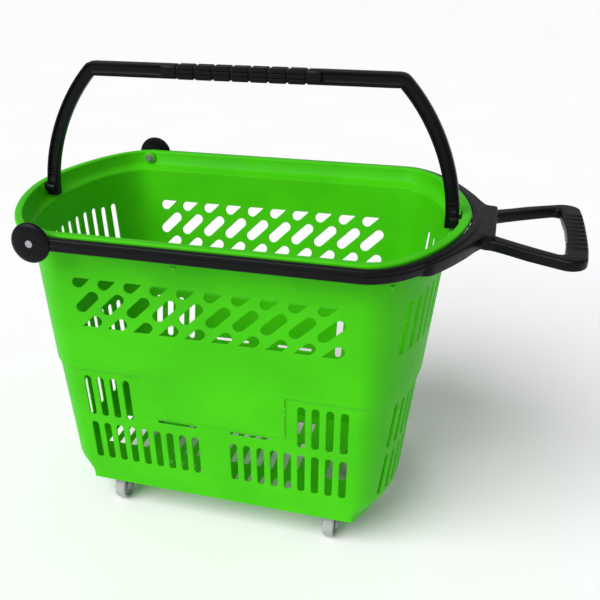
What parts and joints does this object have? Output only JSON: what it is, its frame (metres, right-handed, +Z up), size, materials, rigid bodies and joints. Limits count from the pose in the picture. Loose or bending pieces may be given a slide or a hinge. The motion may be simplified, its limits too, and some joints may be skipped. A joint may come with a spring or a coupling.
{
  "type": "shopping basket",
  "caption": "Deep slotted plastic shopping basket on swivel casters, with a swing-over carry handle and a hinged pull handle that rests round the rim.",
  "frame": {"origin": "bottom centre of the box around the whole object at rest, on the floor under the wheels", "axes": "+Z up; +X along the basket's length towards the pull handle's grip; +Y across the basket, away from the side called front"},
  "size_m": [0.703, 0.4108, 0.606],
  "materials": {
    "basket_plastic": "semi-gloss bright green moulded plastic",
    "handle_plastic": "semi-gloss black moulded plastic",
    "caster_plastic": "pale grey nylon",
    "fork_plastic": "light grey nylon",
    "zinc_steel": "zinc-plated steel"
  },
  "bodies": {
    "basket": {"basket": "basket_plastic", "hub_rivet_front": "zinc_steel", "hub_rivet_back": "zinc_steel", "hub_washer_front": "zinc_steel", "hub_washer_back": "zinc_steel", "plate_fl": "zinc_steel", "plate_fr": "zinc_steel", "plate_bl": "zinc_steel", "plate_br": "zinc_steel", "king_pin_fl": "zinc_steel", "king_pin_fr": "zinc_steel", "king_pin_bl": "zinc_steel", "king_pin_br": "zinc_steel", "screws_fl": "zinc_steel", "screws_fr": "zinc_steel", "screws_bl": "zinc_steel", "screws_br": "zinc_steel"},
    "carry_handle": {"carry_handle": "handle_plastic"},
    "pull_handle": {"pull_handle": "handle_plastic"},
    "caster_fl": {"fork_fl": "fork_plastic", "axle_fl": "zinc_steel"},
    "wheel_fl": {"wheel_fl": "caster_plastic"},
    "caster_fr": {"fork_fr": "fork_plastic", "axle_fr": "zinc_steel"},
    "wheel_fr": {"wheel_fr": "caster_plastic"},
    "caster_bl": {"fork_bl": "fork_plastic", "axle_bl": "zinc_steel"},
    "wheel_bl": {"wheel_bl": "caster_plastic"},
    "caster_br": {"fork_br": "fork_plastic", "axle_br": "zinc_steel"},
    "wheel_br": {"wheel_br": "caster_plastic"}
  },
  "joints": [
    {"name": "carry_hinge", "type": "hinge", "parent": "basket", "child": "carry_handle", "pos_m": [-0.0645, 0, 0.438], "axis": [1, 0, 0], "range_deg": [-91, 91]},
    {"name": "pull_hinge", "type": "hinge", "parent": "basket", "child": "pull_handle", "pos_m": [-0.258, 0, 0.437], "axis": [0, -1, 0], "range_deg": [0, 135]},
    {"name": "swivel_fl", "type": "hinge", "parent": "basket", "child": "caster_fl", "pos_m": [-0.2185, -0.073, 0.05], "axis": [0, 0, 1], "continuous": true},
    {"name": "spin_fl", "type": "hinge", "parent": "caster_fl", "child": "wheel_fl", "pos_m": [-0.2185, -0.086, 0.02], "axis": [1, 0, 0], "continuous": true},
    {"name": "swivel_fr", "type": "hinge", "parent": "basket", "child": "caster_fr", "pos_m": [0.0895, -0.073, 0.05], "axis": [0, 0, 1], "continuous": true},
    {"name": "spin_fr", "type": "hinge", "parent": "caster_fr", "child": "wheel_fr", "pos_m": [0.0895, -0.086, 0.02], "axis": [1, 0, 0], "continuous": true},
    {"name": "swivel_bl", "type": "hinge", "parent": "basket", "child": "caster_bl", "pos_m": [-0.2185, 0.073, 0.05], "axis": [0, 0, 1], "continuous": true},
    {"name": "spin_bl", "type": "hinge", "parent": "caster_bl", "child": "wheel_bl", "pos_m": [-0.2185, 0.06, 0.02], "axis": [1, 0, 0], "continuous": true},
    {"name": "swivel_br", "type": "hinge", "parent": "basket", "child": "caster_br", "pos_m": [0.0895, 0.073, 0.05], "axis": [0, 0, 1], "continuous": true},
    {"name": "spin_br", "type": "hinge", "parent": "caster_br", "child": "wheel_br", "pos_m": [0.0895, 0.06, 0.02], "axis": [1, 0, 0], "continuous": true}
  ]
}
